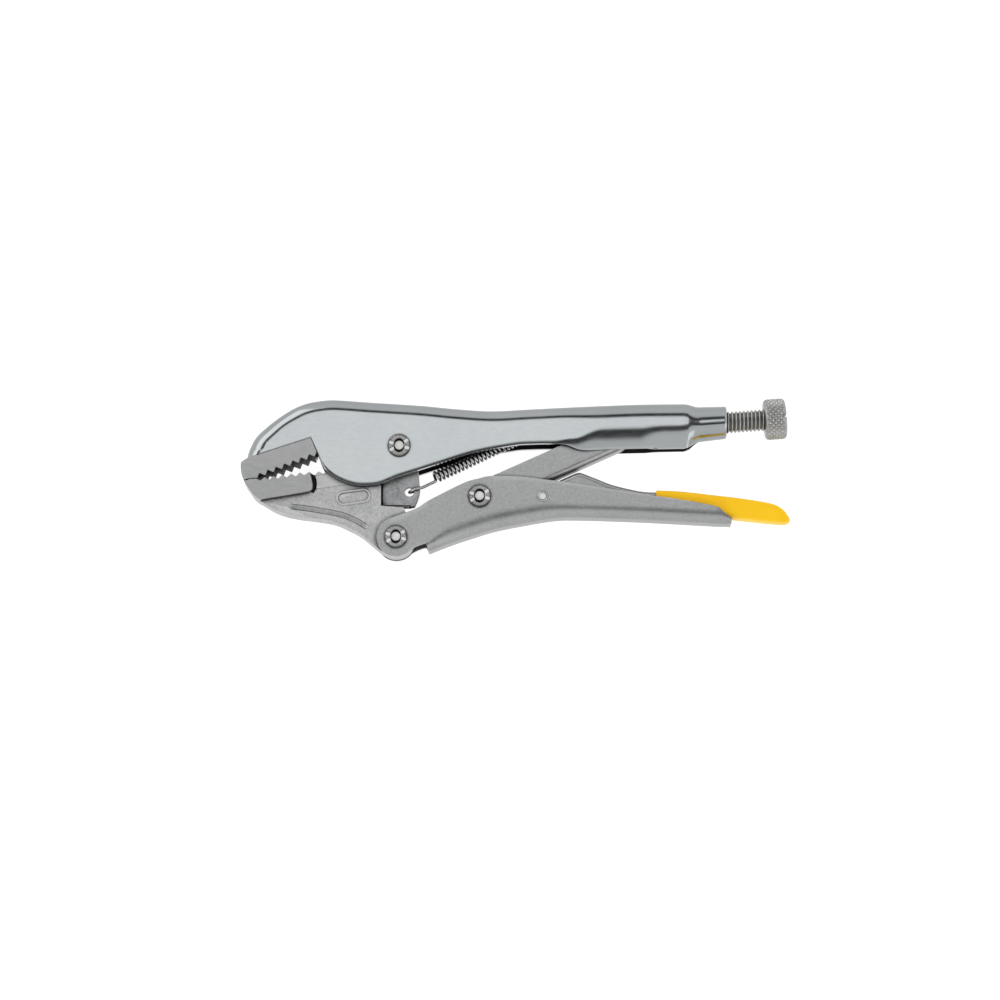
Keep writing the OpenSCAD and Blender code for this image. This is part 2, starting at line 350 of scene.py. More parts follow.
def noise(tree, scale, stretch=(1, 1, 1), detail=4.0):
    """Noise in the object's own coordinates, stretched along an axis."""
    where = tree.nodes.new("ShaderNodeTexCoord")
    mapping = tree.nodes.new("ShaderNodeMapping")
    mapping.inputs["Scale"].default_value = stretch
    tex = tree.nodes.new("ShaderNodeTexNoise")
    tex.inputs["Scale"].default_value = scale
    tex.inputs["Detail"].default_value = detail
    tree.links.new(where.outputs["Object"], mapping.inputs["Vector"])
    tree.links.new(mapping.outputs["Vector"], tex.inputs["Vector"])
    return tex.outputs["Fac"]


def ramp(tree, fac, low, high, at=(0.35, 0.65)):
    """Maps a value to between two greys or colours."""
    node = tree.nodes.new("ShaderNodeValToRGB")
    node.color_ramp.elements[0].position = at[0]
    node.color_ramp.elements[1].position = at[1]
    node.color_ramp.elements[0].color = (*low, 1) if np.ndim(low) else (low, low, low, 1)
    node.color_ramp.elements[1].color = (*high, 1) if np.ndim(high) else (high, high, high, 1)
    tree.links.new(fac, node.inputs["Fac"])
    return node.outputs["Color"]


def bumped(tree, bsdf, heights):
    """Stacks bumps: each is (value, strength, distance in metres)."""
    last = None
    for value, strength, distance in heights:
        bump = tree.nodes.new("ShaderNodeBump")
        bump.inputs["Strength"].default_value = strength
        bump.inputs["Distance"].default_value = distance
        tree.links.new(value, bump.inputs["Height"])
        if last:
            tree.links.new(last, bump.inputs["Normal"])
        last = bump.outputs["Normal"]
    tree.links.new(last, bsdf.inputs["Normal"])


def mixed_in(tree, fac, a, b, blend="MIX"):
    """Blends colour b over colour a by fac."""
    mix = tree.nodes.new("ShaderNodeMix")
    mix.data_type = "RGBA"
    mix.blend_type = blend
    if fac is None:
        mix.inputs["Factor"].default_value = 1.0
    else:
        tree.links.new(fac, mix.inputs["Factor"])
    tree.links.new(a, mix.inputs["A"])
    if np.ndim(b):
        mix.inputs["B"].default_value = (*b, 1)
    else:
        tree.links.new(b, mix.inputs["B"])
    return mix.outputs["Result"]


def edge_worn(tree, colour, worn, amount=0.6):
    """Lightens convex edges, where handling polishes them."""
    geometry = tree.nodes.new("ShaderNodeNewGeometry")
    mask = ramp(tree, geometry.outputs["Pointiness"], 0.0, amount, (0.51, 0.58))
    return mixed_in(tree, mask, colour, worn)


def painted_shade_in_recesses(tree, colour, depth, reach):
    """Painted shade: darkens the colour in corners and recesses, where ambient occlusion finds
    nearby surfaces.
    """
    open_sky = tree.nodes.new("ShaderNodeAmbientOcclusion")
    open_sky.samples = 8
    open_sky.inputs["Distance"].default_value = reach
    shade = ramp(tree, open_sky.outputs["AO"], depth, 1.0, (0.46, 0.86))
    return mixed_in(tree, None, colour, shade, "MULTIPLY")


def maths(tree, operation, *values):
    """The result of one arithmetic node; each value is a socket or a number."""
    node = tree.nodes.new("ShaderNodeMath")
    node.operation = operation
    for socket, value in zip(node.inputs, values):
        if isinstance(value, float):
            socket.default_value = value
        else:
            tree.links.new(value, socket)
    return node.outputs[0]


def metal(name, dark, light, rough, grain, grain_bump, blotch=60, pits=0.0, speckle=0.05,
          recess_shade=0.35, reach=0.0022):
    """Bare or plated steel: cloudy colour, brushed grain, fine pits, polished edges, painted shade
    in recesses.

    grain is the brushing's scale along X, Y and Z, blotch the clouds' scale; the last two give the
    painted shade in recesses: the share the colour darkens to, and the recesses' width in metres.
    """
    mat, tree, bsdf = node_tree(name)
    bsdf.inputs["Metallic"].default_value = 1.0
    cloud = noise(tree, blotch)
    lines = noise(tree, 1.0, grain, 3.0)
    flecks = ramp(tree, noise(tree, 1100, detail=2.0), 1 - speckle, 1.0)
    colour = mixed_in(tree, None, ramp(tree, cloud, dark, light), flecks, "MULTIPLY")
    colour = edge_worn(tree, colour, [min(1, c * 1.12) for c in light])
    # Painted shade: the colour darkens in corners, recesses and next to neighbouring parts
    tree.links.new(painted_shade_in_recesses(tree, colour, recess_shade, reach), bsdf.inputs["Base Color"])
    mean = maths(tree, "MULTIPLY_ADD", lines, 0.5, maths(tree, "MULTIPLY", cloud, 0.5))
    tree.links.new(ramp(tree, mean, *rough), bsdf.inputs["Roughness"])
    heights = [(lines, grain_bump, 2e-5)]
    if pits:
        heights.append((noise(tree, 2600, detail=2.0), pits, 3e-5))
    bumped(tree, bsdf, heights)
    return mat


def chrome_plate():
    return metal("chrome_plate", (0.328, 0.346, 0.354), (0.361, 0.379, 0.385),
                 rough=(0.11, 0.19), grain=(260, 900, 900), grain_bump=0.05,
                 blotch=35, speckle=0.02, recess_shade=0.45)


def ground_steel():
    return metal("ground_steel", (0.305, 0.310, 0.313), (0.415, 0.415, 0.419),
                 rough=(0.26, 0.40), grain=(150, 6500, 6500), grain_bump=0.45,
                 blotch=90, pits=0.06, speckle=0.10, recess_shade=0.15)


def forged_steel():
    return metal("forged_steel", (0.484, 0.488, 0.493), (0.609, 0.609, 0.614),
                 rough=(0.32, 0.46), grain=(900, 900, 900), grain_bump=0.25,
                 blotch=140, pits=0.10, speckle=0.20, recess_shade=0.06, reach=0.003)


def satin_nickel():
    return metal("satin_nickel", (0.348, 0.351, 0.355), (0.407, 0.411, 0.414),
                 rough=(0.28, 0.38), grain=(1000, 1300, 1300), grain_bump=0.12,
                 blotch=60, pits=0.04, speckle=0.14, recess_shade=0.2)


def bright_nickel():
    return metal("bright_nickel", (0.395, 0.397, 0.395), (0.475, 0.477, 0.475),
                 rough=(0.14, 0.22), grain=(700, 1200, 1200), grain_bump=0.04,
                 blotch=150, speckle=0.06, recess_shade=0.10, reach=0.0012)


def zinc_plate():
    return metal("zinc_plate", (0.339, 0.339, 0.329), (0.448, 0.448, 0.437),
                 rough=(0.30, 0.42), grain=(700, 1200, 1200), grain_bump=0.12,
                 blotch=150, pits=0.06, speckle=0.12, recess_shade=0.55, reach=0.0014)


def spring_steel():
    return metal("spring_steel", (0.399, 0.404, 0.408), (0.551, 0.556, 0.560),
                 rough=(0.24, 0.36), grain=(900, 900, 900), grain_bump=0.15,
                 blotch=300, pits=0.10, speckle=0.08, recess_shade=0.02, reach=0.005)


# A rough forging, darker than the body's to paint the shade of the tab's recess
def shaded_rough_forging():
    return metal("shaded_rough_forging", (0.336, 0.342, 0.347), (0.493, 0.498, 0.504),
                 rough=(0.34, 0.50), grain=(900, 900, 900), grain_bump=0.35,
                 blotch=140, pits=0.16, speckle=0.30, recess_shade=0.02, reach=0.003)


def painted_shade_black():
    """A dull black painted as shade, on faces that lie in shade: channel insides, tooth flanks,
    grooves, recess corners.
    """
    mat = metal("painted_shade_black", (0.007, 0.007, 0.0075), (0.02, 0.02, 0.021),
                rough=(0.5, 0.65), grain=(900, 900, 900), grain_bump=0.2,
                blotch=200, pits=0.12, speckle=0.1, recess_shade=0.4)
    bsdf = mat.node_tree.nodes["Principled BSDF"]
    bsdf.inputs["Metallic"].default_value = 0.0
    bsdf.inputs["Specular IOR Level"].default_value = 0.12
    return mat


def yellow_vinyl():
    """Dipped vinyl: smooth, softly glossy, with a faint orange-peel surface."""
    mat, tree, bsdf = node_tree("yellow_vinyl")
    cloud = noise(tree, 70)
    tree.links.new(ramp(tree, cloud, (0.97, 0.54, 0.002), (1.0, 0.61, 0.004)),
                   bsdf.inputs["Base Color"])
    tree.links.new(ramp(tree, noise(tree, 400), 0.34, 0.46), bsdf.inputs["Roughness"])
    bsdf.inputs["Specular IOR Level"].default_value = 0.3
    bsdf.inputs["Subsurface Weight"].default_value = 0.08
    bsdf.inputs["Subsurface Radius"].default_value = (0.002, 0.001, 0.0003)
    bumped(tree, bsdf, [(noise(tree, 500), 0.12, 1e-4), (noise(tree, 2400), 0.08, 3e-5)])
    return mat


CHROME, GROUND, FORGED = chrome_plate(), ground_steel(), forged_steel()
NICKEL, BRIGHT, DARK_WIRE, VINYL = satin_nickel(), bright_nickel(), spring_steel(), yellow_vinyl()
# Painted shade: the first is a black for faces in shade, the second a forging darkened for a
# recess
SHADE_BLACK, SHADED_FORGING, ZINC = painted_shade_black(), shaded_rough_forging(), zinc_plate()

# ---- upper handle ------------------------------------------------------------------
UPPER_TOP = curve([(-109.7, 6.9), (-108.8, 10.7), (-106, 16.3), (-101.5, 20.7), (-96.3, 24.7),
                   (-91.1, 27.9), (-85.9, 30.1), (-80.7, 31.2), (-73.7, 31.7), (-59, 30.7),
                   (-39, 29.4), (-24.4, 28), (-9.8, 27.1), (4.7, 27.8), (18.2, 28.5),
                   (32.7, 29.3), (51, 30), (70.4, 30.2)])
UPPER_LOW = np.vstack([[(-109.7, 6.85), (-83.4, 15.5)],
                       curve([(-80.2, 8.4), (-78.7, 4.5), (-76.7, 1.6), (-72.7, -1.4),
                              (-66.9, -3.7), (-62.1, -4.3), (-55.5, -3.7), (-48.3, -0.75),
                              (-39, 2.2), (-31.7, 4.6), (-17.1, 9.2), (-2.5, 12), (4.7, 12.8),
                              (19.2, 12.8), (27.2, 10.5), (40, 11), (70.4, 11.6)])])
UPPER_SHEET = 2.5
# The X where the pressed channel ends, and where the collar's taper starts and ends
CHANNEL_END, TAPER_FROM, COLLAR_END = 70.4, 74.0, 86.3
COLLAR_R, COLLAR_TAPER, COLLAR_BORE_R = 7.25, 0.6, 4.95
LIP_R, LIP_L = 0.35, 0.4
# The nose's sheet is cut off at this X, and the normals there start out this way
NOSE_CUT, NOSE_WAY = -104.95, np.array([0.95, 0.312])


def handle_stations():
    """The X of the handle's cross-sections, which are dense at the corner by the jaw."""
    corner = [-83.4, -82.7, -82.0, -81.1, -80.2, -79.4, -78.7, -77.7, -76.7]
    first = [x for x in UPPER_TOP[:, 0] if min(abs(x - k) for k in corner) > 0.45]
    rest = np.linspace(CHANNEL_END + 0.4, COLLAR_END, 34)
    return np.sort(np.concatenate([first, corner, rest]))


def cheek(x, edge, foot):
    """The cheek at x as outer and inner points, from its curled free edge to the bend's foot."""
    narrow = ease(x, 16, 36)
    curl_run = 0.5 + 1.3 * ease(x, -82, -76) + 7.6 * narrow
    curl_drop = 0.21 + 2.09 * narrow + 1.2 * ease(x, 53, 58)
    least = 5.2 - 2.0 * ease(x, 54, 57)
    length = max(np.linalg.norm(foot - edge), 1e-6)
    along = (foot - edge) / length
    curl_run = min(curl_run, 0.85 * length)
    inner_top = UPPER_Z - UPPER_SHEET
    outer, inner = [], []
    for k in range(10):
        share = (k / 10) ** 1.2
        fall = (1 - share) ** 1.6
        p = edge + along * curl_run * share
        z = UPPER_Z - curl_drop * fall
        outer.append((*p, z))
        inner.append((*p, min(max(inner_top - max(curl_drop - 0.6, 0) * fall, least), z - 0.1)))
    for k in range(8):
        p = edge + along * (curl_run + (length - curl_run) * k / 8)
        outer.append((*p, UPPER_Z))
        inner.append((*p, inner_top))
    return outer, inner


def handle_ring(x, y, n):
    """The upper half of a cross-section, from the free edge to the spine: both skins."""
    bend = 4.5 + 0.8 * ease(x, 16, 36) + 1.1 * (1 - ease(x, -104, -88))
    deep = bend * (1 + 0.22 * ease(x, -99, -90))
    inner_bend = bend - UPPER_SHEET
    spine = np.array([x, y])
    foot = spine + n * deep
    at = min(max(x, NOSE_CUT), foot[0]) if x < -95 else x
    outer, inner = cheek(x, np.array([at, float(height(UPPER_LOW, at))]), foot)
    for skin, depth, r, span in ((outer, 0, bend, deep),
                                 (inner, UPPER_SHEET, inner_bend, inner_bend)):
        for a in np.linspace(0, math.pi / 2, 11):
            p = spine + n * (depth + span * (1 - math.sin(a)))
            skin.append((*p, UPPER_Z - depth - r * (1 - math.cos(a))))
        z = skin[-1][2]
        skin += [(*(spine + n * depth), z * (1 - k / 3)) for k in (1, 2, 3)]
    return np.array(outer), np.array(inner)


def collar_ring(x, near):
    """The collar's cross-section at x, with its points spread like those of near."""
    centre = SCREW_AT[1] + (x - SCREW_AT[0]) * SCREW_SLOPE
    step = np.linalg.norm(np.diff(near, axis=0), axis=1)
    share = np.concatenate([[0], np.cumsum(step)]) / step.sum()
    a = np.radians(-88.5 + 178.5 * share)
    r = COLLAR_R - COLLAR_TAPER * (x - TAPER_FROM) / (COLLAR_END - TAPER_FROM)
    r -= LIP_R * max(0, (x - COLLAR_END + LIP_L) / LIP_L) ** 2
    rings = []
    for radius in (r, COLLAR_BORE_R):
        rings.append(np.stack([np.full(len(a), x), centre + radius * np.sin(a),
                               radius * np.cos(a)], 1))
    return rings


def inward_ways(line):
    """Unit normals into the handle along its top edge, turned towards the nose's own."""
    smooth = normals(UPPER_TOP, -1)
    ways = np.stack([np.interp(line[:, 0], UPPER_TOP[:, 0], smooth[:, k]) for k in (0, 1)], 1)
    along = np.concatenate([[0], np.cumsum(np.linalg.norm(np.diff(line, axis=0), axis=1))])
    ways += (1 - ease(along, 0, 8))[:, None] * (NOSE_WAY - ways)
    return ways / np.linalg.norm(ways, axis=1)[:, None]


def upper_handle():
    """One skin from the nose to the collar: the channel's sections turn into round ones."""
    xs = handle_stations()
    ys = np.where(xs <= CHANNEL_END, height(UPPER_TOP, xs), UPPER_TOP[-1][1])
    line = np.stack([xs, ys], 1)
    mirror = np.array([1, 1, -1])
    rings = []
    for (x, y), way in zip(line, inward_ways(line)):
        at = min(x, CHANNEL_END)
        outer, inner = handle_ring(at, y, way if x < 68 else np.array([0.0, -1.0]))
        outer[:, 0] += x - at
        inner[:, 0] += x - at
        round_outer, round_inner = collar_ring(max(x, TAPER_FROM), outer)
        round_outer[:, 0] = round_inner[:, 0] = x
        t = ease(x, 69.2, 75.5)
        outer = outer * (1 - t) + round_outer * t
        inner = inner * (1 - t) + round_inner * t
        rings.append(np.vstack([outer, (outer * mirror)[-2::-1], inner * mirror,
                                inner[-2::-1]]))
    body = lofted("upper_handle", rings)
    rounded(body, 0.25, 2, 62)
    finished(body, CHROME, UPPER, "upper_handle", 40)

    def inside(c, n):
        faces_in = n.z * c[2] < -0.3 * abs(c[2])
        return faces_in and abs(c[2]) < 6.9 and c[0] < 84

    # Painted shade: the channel's inner faces, which lie in the cheeks' shadow, get the black
    painted(body, SHADE_BLACK, inside)


def spring_anchor():
    """The tab lanced from the handle's spine, which holds the spring's far eye."""
    half, thick, hole_r = 2.5, 0.8, 1.6
    low, high = 17.4, 26
    tab = lofted("spring_anchor_tab", [[(ANCHOR_HOLE[0] + x, y, z) for y, z in
                                        ((low, -half), (high, -half), (high, half), (low, half))]
                                       for x in (-thick, thick)])
    a = np.linspace(0, 2 * math.pi, 28, endpoint=False)
    rings = [[(ANCHOR_HOLE[0] + x, ANCHOR_HOLE[1] + hole_r * math.cos(t), hole_r * math.sin(t))
              for t in a] for x in (-4, 4)]
    combined(tab, lofted("tab_hole", rings), "DIFFERENCE")
    rounded(tab, 0.2, 2)
    finished(tab, CHROME, UPPER)


# ---- jaws --------------------------------------------------------------------------
PITCH, DEPTH, LOWER_DEPTH = 3.6, 1.6, 1.3
UPPER_ROW = ((-105.41, -1.51), (-81.8, 7.54))
LOWER_ROW = ((-102.25, -0.89), (-83.9, 1.45))
# One tooth: (share of the pitch, share of the depth) from its crest to the next root
TOOTH = ((0.0, 0.06), (0.07, 0.0), (0.14, 0.1), (0.46, 0.92), (0.53, 1.0), (0.6, 0.92))


def teeth(a, b, depth):
    """Saw teeth with their crests on the line from a to b; roots are depth to its left."""
    a, b = np.array(a, float), np.array(b, float)
    run = np.linalg.norm(b - a)
    u = (b - a) / run
    v = np.array([-u[1], u[0]]) * depth
    return [a + u * PITCH * (i + along) + v * deep for i in range(int(run / PITCH))
            for along, deep in TOOTH] + [b]


def in_teeth(c, a, b):
    """Whether a point is by the row of teeth that runs from a towards b."""
    along = (np.array(b) - a) / np.linalg.norm(np.array(b) - a)
    away = np.array(c[:2]) - a
    off = abs(away[0] * along[1] - away[1] * along[0])
    return off < DEPTH + 0.2 and -0.3 < away @ along < 25.8


def upper_jaw():
    """The jaw fixed in the handle's nose: a toothed head, and a tang between the cheeks."""
    head = np.vstack([[(-108, -1.4), (-105.7, -1.28)], teeth(*UPPER_ROW, DEPTH),
                      [(-80.95, 9.53), (-83.4, 15.42), (-109.4, 6.87), (-111.6, 5.5),
                       (-111.9, 5.0), (-111.85, 2.9), (-111.5, 0.3), (-110.6, -2.1)]])
    tang = np.vstack([[(-104.5, 6)], [p - (0, 2.7) for p in UPPER_TOP if -104.5 < p[0] < -78],
                      [(-78, 12), (-81.2, 9.4)]])
    jaw = slab("upper_jaw", head, UPPER_Z, 0.22)
    combined(jaw, slab("tang", tang, INNER_Z - 0.1, 0.2), "UNION")
    finished(jaw, GROUND, UPPER, "upper_jaw")
    # Painted shade: the tooth flanks, in the gap between the jaws, get the black
    painted(jaw, SHADE_BLACK, lambda c, n: in_teeth(c, *UPPER_ROW) and abs(n.z) < 0.5)


HEAD_HEEL = [(-83.5, 0.6), (-82.9, -1.8), (-82.5, -4.4), (-82.9, -6.0), (-84.8, -6.9), (-92, -8.2),
             (-103.0, -10.0)]
HEAD_NOSE = [(-103.5, -10.3), (-105.2, -9.3), (-107, -7.6), (-108.3, -5.7), (-109.8, -3.6)]
LOWER_JAW_BOTTOM = curve([(-104.1, -10.2), (-100.2, -12.6), (-96.3, -14.6), (-92.4, -15.8),
                          (-87.2, -16.8), (-80.7, -17.6), (-73.7, -18.9), (-68.4, -21.1),
                          (-62.7, -24.2), (-58.1, -28), (-54.6, -30.9)])


def capsule(centre, length, width, tilt):
    """A slot-shaped outline."""
    half = (length - width) / 2
    ends = np.vstack([arc((half, 0), width / 2, -90, 90), arc((-half, 0), width / 2, 90, 270)])
    c, s = math.cos(math.radians(tilt)), math.sin(math.radians(tilt))
    return ends @ np.array([[c, s], [-s, c]]) + np.array(centre)


def jaw_outlines():
    """The lower jaw's head, which is as wide as the upper one, and its narrower body."""
    head = np.vstack([[(-110.4, -2.45), (-108, -1.54), (-105.5, -1.44), (-103.9, -2.15),
                       (-103.6, -2.15)], teeth(*LOWER_ROW, -LOWER_DEPTH),
                      curve(HEAD_HEEL, 5), curve(HEAD_NOSE, 4)])
    body = np.vstack([LOWER_JAW_BOTTOM, arc(JAW_AT, 7.8, 235, 390),
                      [(-45.5, -13), (-54.8, -12.3), (-54.8, 2), (-40.5, 5.5)],
                      arc(MAIN_AT, 8.6, -10, 150), [(-66, 12.5), (-74, 5.6), (-77.4, 2.2)],
                      teeth((-76.5, 2.4), (-83.8, 1.4), LOWER_DEPTH), [(-84, -4), (-100, -8)]])
    return head, body


TAB_Z, TAB_HOLE_R = 1.6, 1.9


def add_tab(jaw):
    """The thin tab that the spring hooks into, with its hole."""
    tab = np.vstack([[(-57, -12.6), (-43.2, -12.6)],
                     curve([(-41.0, -12.1), (-39.9, -9.6), (-39.1, -7.0), (-38.9, -5.4)], 4),
                     [(-40, 8), (-57, 8)]])
    combined(jaw, slab("tab", tab, TAB_Z, 0.3), "UNION")
    combined(jaw, disc("hole", SPRING_HOLE, TAB_HOLE_R, 9), "DIFFERENCE")


def cut_reliefs(jaw):
    """Grooves in the corner of the tab's recess and down the step behind the head."""
    corner = [(-54.8, -12.3), (-42.6, -12.3), (-42.6, -11.5), (-54.0, -11.5), (-54.0, -2.5),
              (-54.8, -2.5)]
    step = [(-82.7, 1.6), (-82.1, -0.9), (-81.7, -3.2), (-81.9, -5.3), (-82.9, -6.8)]
    for side in (-1, 1):
        combined(jaw, raised(slab("relief", corner, 0.5, 0), side * (TAB_Z + 0.05)), "DIFFERENCE")
        route = [(x, y, side * (JAW_Z + 0.5)) for x, y in step]
        combined(jaw, swept("step", route, 0.95, 20), "DIFFERENCE")


PAD_AT, PAD_TILT = (-66, -8.7), 8
RIB = curve([(-91.7, -12.6), (-86, -13.3), (-80.6, -14.1), (-71.3, -15.9), (-65.5, -18.1),
             (-60.2, -21.2)], 6)


def add_marks(jaw):
    """A blank dished pad, and a groove along the jaw's lower edge, on both sides."""
    pad = capsule(PAD_AT, 14.3, 6.2, PAD_TILT)
    combined(jaw, slab("pad", pad, JAW_Z + 0.4, 0.3), "UNION")
    dish = capsule(PAD_AT, 12.5, 4.3, PAD_TILT)
    run_out = np.clip(np.abs(np.linspace(-1, 1, len(RIB))) * 8 - 7, 0, 1) ** 2
    for side in (-1, 1):
        route = np.hstack([RIB, side * (JAW_Z + 0.45 + run_out)[:, None]])
        combined(jaw, swept("groove", route, 1.3, 20), "DIFFERENCE")
        combined(jaw, raised(slab("dish", dish, 0.75, 0.1, 2), side * (JAW_Z + 0.6)),
                 "DIFFERENCE")


def within(c, x, y, z):
    """Whether a point's X, Y and distance from the middle plane are in these ranges."""
    return x[0] < c[0] < x[1] and y[0] < c[1] < y[1] and z[0] <= abs(c[2]) < z[1]


def paint_jaw(jaw):
    """Ground faces on the head; painted shade on the tab, the tooth flanks and the reliefs."""
    everywhere = (-200, 200)
    painted(jaw, GROUND, lambda c, n: within(c, (-200, -81.5), everywhere, (JAW_Z + 0.4, 9)))
    # Painted shade: the recessed tab gets a darker forging
    painted(jaw, SHADED_FORGING, lambda c, n: within(c, (-57, -38), (-14, 9), (0, 1.7)))
    # Painted shade: black on the tooth flanks, in the gap between the jaws
    painted(jaw, SHADE_BLACK, lambda c, n: in_teeth(c, *LOWER_ROW) and abs(n.z) < 0.5)
    # Painted shade: black in the relief along the tab's recess corner
    painted(jaw, SHADE_BLACK, lambda c, n: within(c, (-55, -42), (-12.4, -2.4), (0, 1.58))
            and (c[0] < -53.9 or c[1] < -11.4))
    # Painted shade: black in the groove down the step behind the head
    painted(jaw, SHADE_BLACK, lambda c, n: within(c, (-84.2, -80.4), (-7.4, 1.0),
                                               (JAW_Z - 0.5, JAW_Z + 0.17)))


def lower_jaw():
    """The jaw that swings: a wide head on a forged body with a ground face behind it."""
    head, body = jaw_outlines()
    jaw = slab("lower_jaw", body, JAW_Z, 0.9, 5)
    combined(jaw, slab("head", head, UPPER_Z, 0.3), "UNION")
    ground = [(-83.2, -5.6), (-75, -4.5), (-66, -3.1), (-60, 4), (-66, 10), (-76.4, 0.9),
              (-83.2, -0.6)]
    combined(jaw, slab("ground_face", ground, JAW_Z + 0.2, 0.1, 2), "UNION")
    add_tab(jaw)
    cut_reliefs(jaw)
    add_marks(jaw)
    finished(jaw, FORGED, JAW, "lower_jaw", 30)
    paint_jaw(jaw)


# ---- lower handle, link and release lever ------------------------------------------
LOWER_TOP = curve([(-51.2, -17.85), (-43.2, -14.9), (-39.2, -13.2), (-34.9, -10.3),
                   (-21.2, -3.3), (-14.9, -1.4), (-10, -0.4), (1.8, -0.6), (11.9, -1.8),
                   (25.8, -3.6), (50.8, -7.7), (65.4, -9.8), (80.9, -12.7), (84.2, -14.6),
                   (87.9, -17.6)])
LOWER_BOTTOM = curve([(-35.1, -31.1), (-27.4, -28), (-18.1, -24.8), (-8.7, -21.9),
                      (1.8, -19.7), (15.6, -17.4), (26.5, -17.1), (50.8, -17.9),
                      (71.7, -19), (87.9, -19.95)])
LOWER_RELIEF = [(-40.2, -29.2), (-38.4, -28.5), (-37.2, -28.1), (-35.11, -27.5)]
LOWER_SHEET, LOWER_BEND, LINK_SHEET = 2.05, 3.4, 1.6
EAR_R, WEB_FROM, LOWER_END = 8.0, -35.1, 87.8


def lower_handle():
    """A channel whose cheeks run on past its web as round ears about the jaw's rivet."""
    ear = arc(JAW_AT, EAR_R, 180, 109, 10)
    under = arc(JAW_AT, EAR_R, 180, 322, 24)
    top = np.vstack([ear, LOWER_TOP[1:]])
    bottom = np.vstack([under, LOWER_RELIEF, LOWER_BOTTOM])
    xs = np.concatenate([np.linspace(JAW_AT[0] - EAR_R + 0.01, -42.3, 26),
                         [x for x, y in LOWER_RELIEF[:-1]],
                         np.linspace(WEB_FROM, LOWER_END, 124)])
    bottom = bottom[np.argsort(bottom[:, 0])]
    top = top[np.argsort(top[:, 0])]
    spine = np.stack([xs, height(bottom, xs)], 1)
    edge = np.stack([xs, np.maximum(height(top, xs), spine[:, 1] + 0.05)], 1)
    web = xs >= WEB_FROM - 0.1
    inward = np.zeros_like(spine)
    inward[web] = normals(spine[web], 1)
    edge[:, 0] -= 0.5 * ease(xs, 84, LOWER_END)
    spine[:, 1] += 0.25 * ease(xs, 82, LOWER_END)
    half = LOWER_Z - 0.45 * ease(xs, 81, LOWER_END)
    wide = 1 + ease(xs, -35, -24) - 0.5 * ease(xs, 5, 25)
    handle = channel("lower_handle", spine, edge, inward, half, LOWER_SHEET, LOWER_BEND, web,
                     wide)
    rounded(handle, 0.35, 3, 55)
    finished(handle, NICKEL, LOWER, "lower_handle", 38)


LINK_EYE_R, LINK_HALF, NOSE_R = 6.0, 5.8, 4.85


def link_nose(u, v):
    """The block that joins the cheeks at the screw's end: u is along the link, v across."""
    tilt = math.degrees(math.atan2(u[1], u[0]))
    back = LINK_END - 4 * u
    outline = np.vstack([arc(LINK_END, NOSE_R, tilt - 90, tilt + 90),
                         [back + NOSE_R * v, back - NOSE_R * v]])
    return slab("nose", outline, LINK_Z - 0.02, 0.4)


def toggle_link():
    """A channel with a round eye on its rivet, and a solid nose."""
    run = np.linalg.norm(LINK_END - LINK_AT)
    u = (LINK_END - LINK_AT) / run
    v = np.array([-u[1], u[0]])
    s = np.concatenate([np.linspace(0.05 - LINK_EYE_R, 7, 16), np.linspace(9, run - 3, 40)])
    round_end = np.sqrt(np.maximum(LINK_EYE_R**2 - np.minimum(s, 0) ** 2, 0.01))
    half = np.where(s < 7, round_end, LINK_HALF)
    half = np.where(s > run - 9, LINK_HALF - 0.9 * ease(s, run - 9, run - 3), half)
    spine = LINK_AT + s[:, None] * u - half[:, None] * v
    edge = LINK_AT + s[:, None] * u + half[:, None] * v
    link = channel("toggle_link", spine, edge, np.tile(v, (len(s), 1)), LINK_Z, LINK_SHEET, 2.4,
                   s > 8)
    combined(link, disc("eye", LINK_AT, 3.16, 9), "DIFFERENCE")
    combined(link, link_nose(u, v), "UNION")
    rounded(link, 0.2, 2, 60)
    finished(link, NICKEL, LINK, "toggle_link", 38)


LEVER_TOP = np.vstack([[(7.2, -7.4), (9.4, -5.0), (15, -2.85), (21.5, 0.1), (24.4, 1.4)],
                       curve([(25.8, 1.8), (27.6, 1.4), (33, -0.7), (40, -3.4), (50.8, -5.9),
                              (58, -6.4)])])
LEVER_LOW = curve([(7.2, -9.8), (11, -12.7), (20, -13.1), (40, -13.2), (58, -13.7)])


def release_lever():
    """A channel that opens downwards, between the lower handle's cheeks."""
    xs = np.linspace(7.2, 57.8, 80)
    spine = np.stack([xs, height(LEVER_TOP, xs)], 1)
    edge = np.stack([xs, height(LEVER_LOW, xs)], 1)
    lever = channel("release_lever", spine, edge, normals(spine, -1), LEVER_Z, LINK_SHEET, 2.0,
                    xs > 13)
    rounded(lever, 0.2, 2, 60)
    finished(lever, NICKEL, LEVER, "release_lever", 38)


TAIL_TOP = curve([(56.9, -5.5), (67.5, -6.0), (80, -7.4), (92.5, -8.9), (104, -10.9),
                  (108.7, -13.2), (111.2, -16.2), (112.0, -17.8)])
TAIL_LOW = curve([(56.9, -13.9), (72, -15.4), (88.3, -17.1), (100, -18.4), (108, -19.1),
                  (110.8, -18.9), (112.0, -18.0)])


SLEEVE_FROM, SLEEVE_END, SLEEVE_Z = 57.0, 111.95, 4.88
TIP_L, FRONT_L = 3.5, 0.9
CORNER_POWER = 0.42


def round_off(distance, reach):
    """0 at an end, 1 from reach on, along a quarter circle."""
    return math.sqrt(max(0, 1 - (1 - min(distance / reach, 1)) ** 2))


